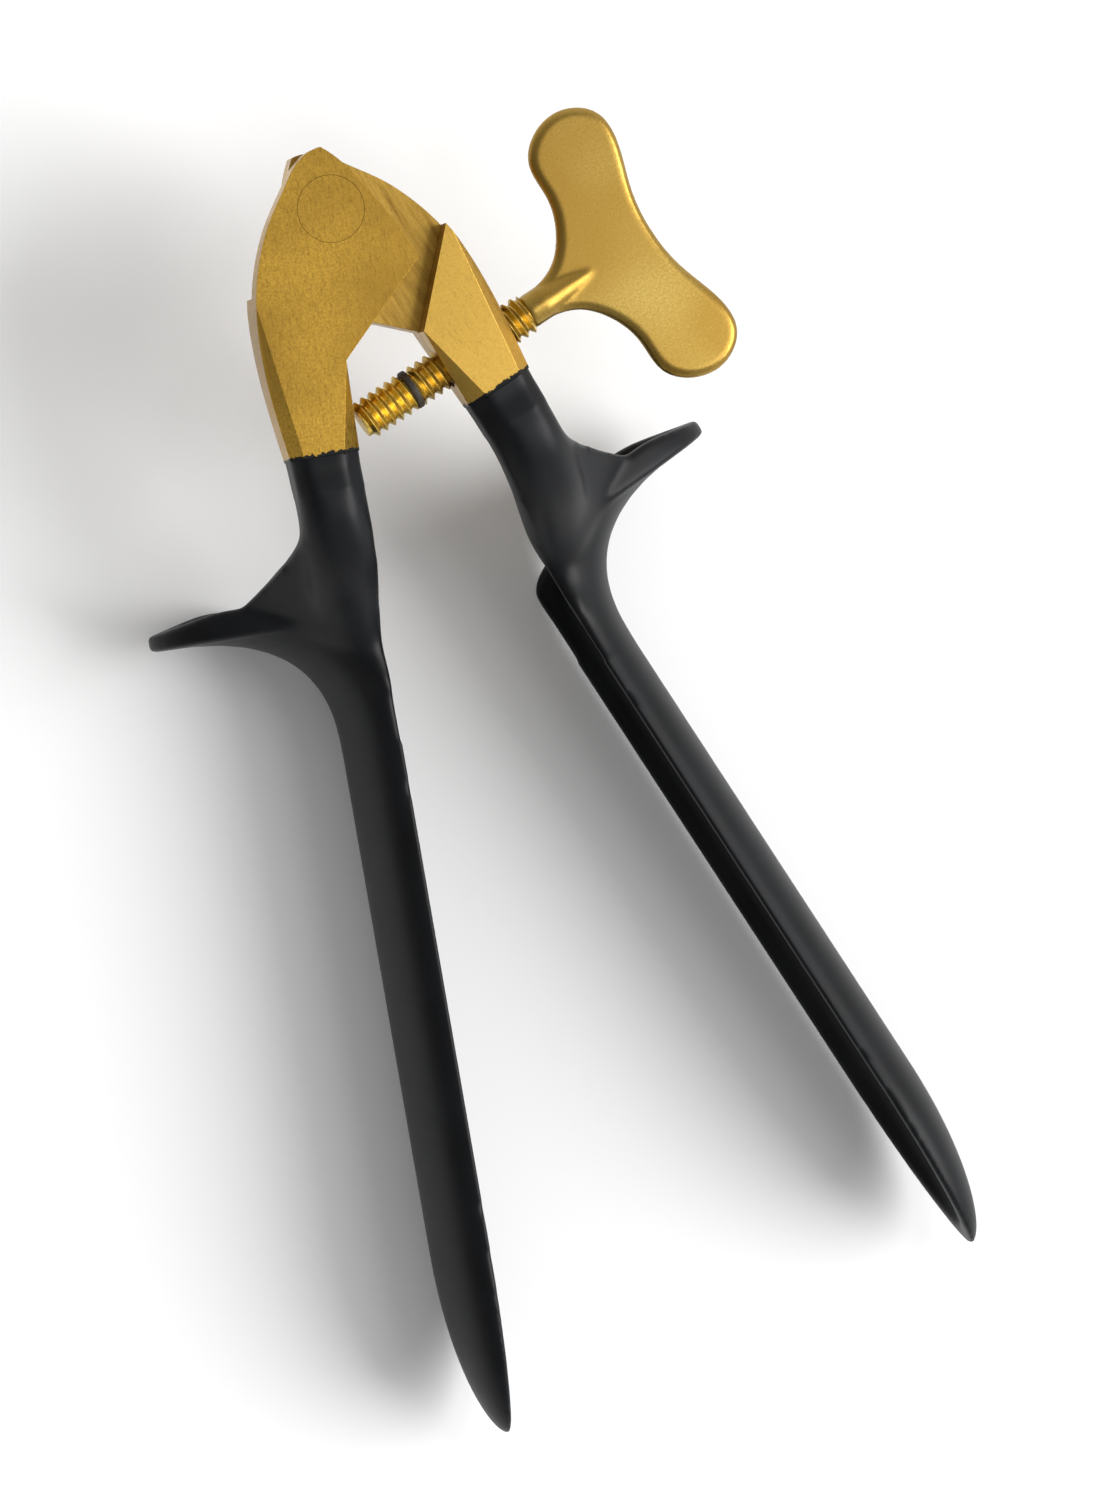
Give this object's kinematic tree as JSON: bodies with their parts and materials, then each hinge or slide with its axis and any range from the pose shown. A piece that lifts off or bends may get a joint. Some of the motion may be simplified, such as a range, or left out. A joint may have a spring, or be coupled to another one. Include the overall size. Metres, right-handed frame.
{
  "type": "anal speculum",
  "caption": "Bivalve anal speculum with lap-hinged arms, lip flanges, trough blades and a wing-headed set screw that spreads them.",
  "frame": {"origin": "on the hinge axis, in the flat underside of the lapped head", "axes": "+Z along the hinge axis, up through the head; -Y along the right half's closing plane towards its blade tip; +X outward from that plane towards the screw's wing"},
  "size_m": [0.0889, 0.1466, 0.0355],
  "materials": {
    "bare_brass": "satin brushed",
    "screw_brass": "satin brushed",
    "black_coat": "satin coat on metal",
    "dark_ring": "matt"
  },
  "bodies": {
    "right_half": {"right_arm": "bare_brass", "right_blade": "black_coat", "pivot_pin": "bare_brass"},
    "left_half": {"left_arm": "bare_brass", "left_blade": "black_coat"},
    "screw_ring": {"friction_ring": "dark_ring"},
    "thumbscrew": {"screw_shank": "screw_brass", "screw_wing": "screw_brass"}
  },
  "joints": [
    {"name": "blade_hinge", "type": "hinge", "parent": "right_half", "child": "left_half", "pos_m": [0, 0, 0], "axis": [0, 0, -1], "range_deg": [-23.5, 13.86]},
    {"name": "screw_travel", "type": "slide", "parent": "right_half", "child": "screw_ring", "axis": [-1, 0, 0], "range_m": [-0.01001, 0.0059]},
    {"name": "screw_turn", "type": "hinge", "parent": "screw_ring", "child": "thumbscrew", "pos_m": [0, -0.0219, 0.004], "axis": [-1, 0, 0], "range_deg": [-3406, 2008]}
  ],
  "couplings": [
    {"joint": "screw_turn", "follows": "screw_travel", "rad_per_m": 5938.7},
    {"joint": "blade_hinge", "follows": "screw_travel", "rad_per_m": 40.984}
  ]
}
